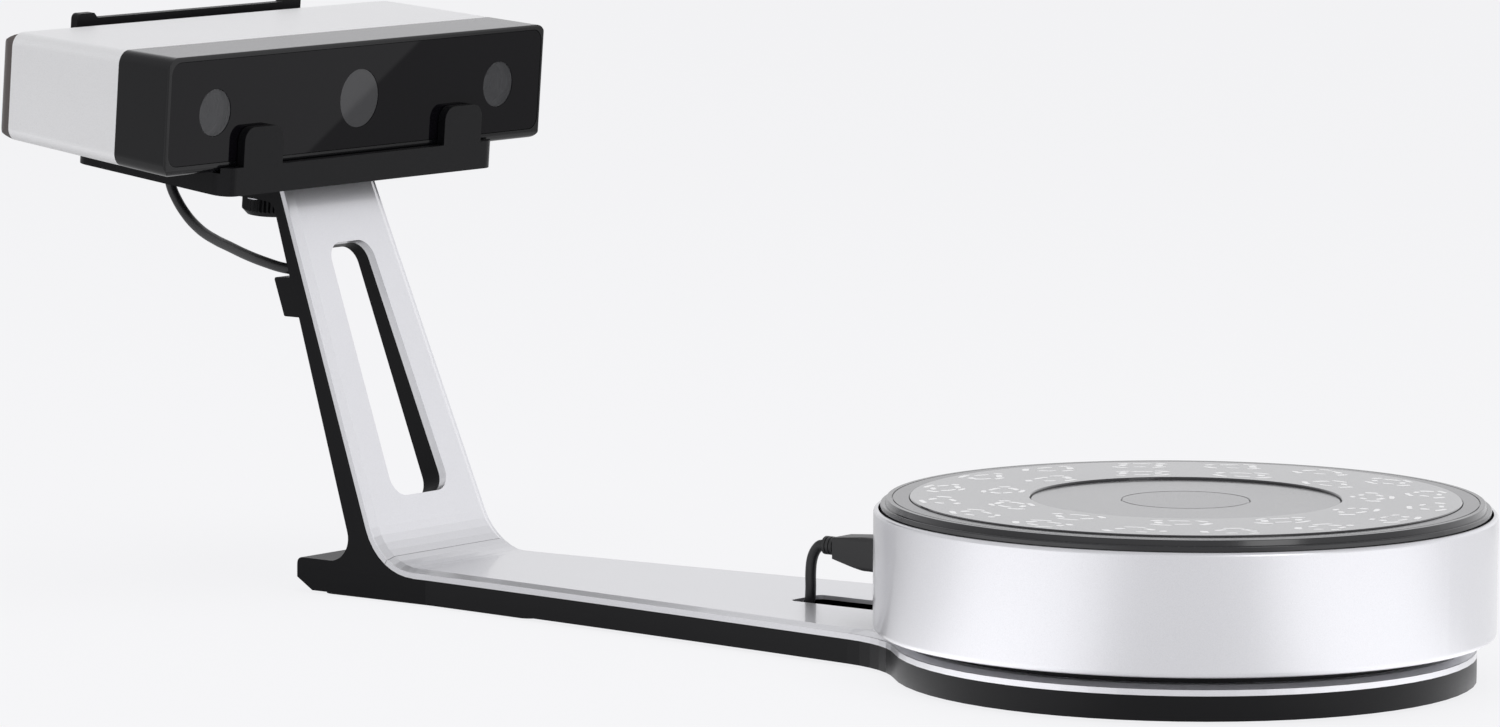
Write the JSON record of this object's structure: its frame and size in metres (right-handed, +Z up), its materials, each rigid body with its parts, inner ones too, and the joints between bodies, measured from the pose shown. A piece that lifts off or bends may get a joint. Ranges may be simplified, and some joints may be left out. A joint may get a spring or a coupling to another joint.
{
  "type": "desktop three-d scanner",
  "caption": "Structured-light scan head in a cradle on a leaning upright with a slot, over a low arm that ends in a round motor turntable joined by a lead.",
  "frame": {"origin": "on the table, under the middle of the stand's length and width, measured without the free leads", "axes": "+X from the scan head to the turntable, +Y across to the scanner's left as seen from its head, +Z up"},
  "size_m": [0.5555, 0.2092, 0.2046],
  "materials": {
    "silver_satin": "satin silver paint",
    "pale_silver": "satin pale silver paint",
    "black_satin": "satin black moulding, finely grained",
    "platter_black": "dark grey satin gloss",
    "marker_black": "dark gloss with white printed dashes",
    "mat_grey": "dark grey satin",
    "panel_black": "near-black gloss panel",
    "window_glass": "dark tinted glass",
    "lens_glass": "coated lens",
    "rubber_black": "matt",
    "cable_black": "satin",
    "zinc_steel": "zinc plated",
    "screw_steel": "zinc plated",
    "bearing_bronze": "oiled bronze",
    "brass_plain": "turned brass",
    "nylon_white": "white nylon",
    "board_green": "green lacquered board",
    "bench_alloy": "milled and bead blasted",
    "sink_alloy": "extruded",
    "camera_black": "black anodised"
  },
  "bodies": {
    "stand": {"base_tray": "black_satin", "base_feet": "rubber_black", "rear_foot_pad": "rubber_black", "spine_plate": "zinc_steel", "spine_screws": "screw_steel", "upright_frame": "black_satin", "upright_cover": "silver_satin", "upright_screws": "screw_steel", "arm_cover": "silver_satin", "cable_guide": "black_satin", "chassis_screws": "screw_steel", "turntable_chassis": "black_satin", "drum_shell": "silver_satin", "shaft_bushes": "bearing_bronze", "motor_bracket": "zinc_steel", "stepper_motor": "camera_black", "motor_screws": "screw_steel", "turntable_board": "board_green", "drum_socket": "black_satin", "cradle": "black_satin", "cradle_screws": "screw_steel", "cradle_pads": "rubber_black", "head_shell": "pale_silver", "tripod_insert": "brass_plain", "head_bezel": "black_satin", "front_glass": "panel_black", "left_window": "window_glass", "right_window": "window_glass", "projector_window": "window_glass", "optic_bench": "bench_alloy", "bench_screws": "screw_steel", "left_camera": "camera_black", "right_camera": "camera_black", "camera_lenses": "lens_glass", "projector_module": "camera_black", "projector_lens": "lens_glass", "heat_sink": "sink_alloy", "main_board": "board_green", "head_sockets": "zinc_steel", "fan_frame": "black_satin", "head_back_cover": "black_satin", "head_plug": "cable_black", "head_lead": "cable_black", "stand_lead": "cable_black", "table_lead": "cable_black", "table_plug": "cable_black"},
    "platter_body": {"platter": "platter_black", "marker_plate": "marker_black", "centre_mat": "mat_grey", "centre_cap": "platter_black", "platter_shaft": "zinc_steel", "shaft_clip": "screw_steel", "drive_gear": "nylon_white", "hub_screws": "screw_steel"},
    "motor_rotor": {"motor_pinion": "brass_plain"},
    "fan_rotor_body": {"fan_rotor": "black_satin"},
    "washer_body": {"clamp_washer": "screw_steel"},
    "clamp_body": {"clamp_screw": "black_satin"},
    "button_body": {"power_button": "black_satin"}
  },
  "joints": [
    {"name": "platter_spin", "type": "hinge", "parent": "stand", "child": "platter_body", "pos_m": [0.17001, 0, 0.05], "axis": [0, 0, 1], "continuous": true},
    {"name": "motor_spin", "type": "hinge", "parent": "stand", "child": "motor_rotor", "pos_m": [0.21501, 0, 0.045], "axis": [0, 0, 1], "continuous": true},
    {"name": "fan_spin", "type": "hinge", "parent": "stand", "child": "fan_rotor_body", "pos_m": [-0.25745, 0.08, 0.18113], "axis": [0.9973, 0, -0.0732], "continuous": true},
    {"name": "clamp_drop", "type": "slide", "parent": "stand", "child": "washer_body", "axis": [-0.0732, 0, -0.9973], "range_m": [0, 0.00636]},
    {"name": "clamp_turn", "type": "hinge", "parent": "washer_body", "child": "clamp_body", "pos_m": [-0.23081, 0, 0.13435], "axis": [0.0732, 0, 0.9973], "range_deg": [0, 1800]},
    {"name": "button_press", "type": "slide", "parent": "stand", "child": "button_body", "axis": [0.9973, 0, -0.0732], "range_m": [0, 0.0006], "stiffness_N_per_m": 900, "springref_m": -0.0003}
  ],
  "couplings": [
    {"joint": "motor_spin", "follows": "platter_spin", "ratio": -4},
    {"joint": "clamp_drop", "follows": "clamp_turn", "m_per_rad": 0.00020213}
  ]
}
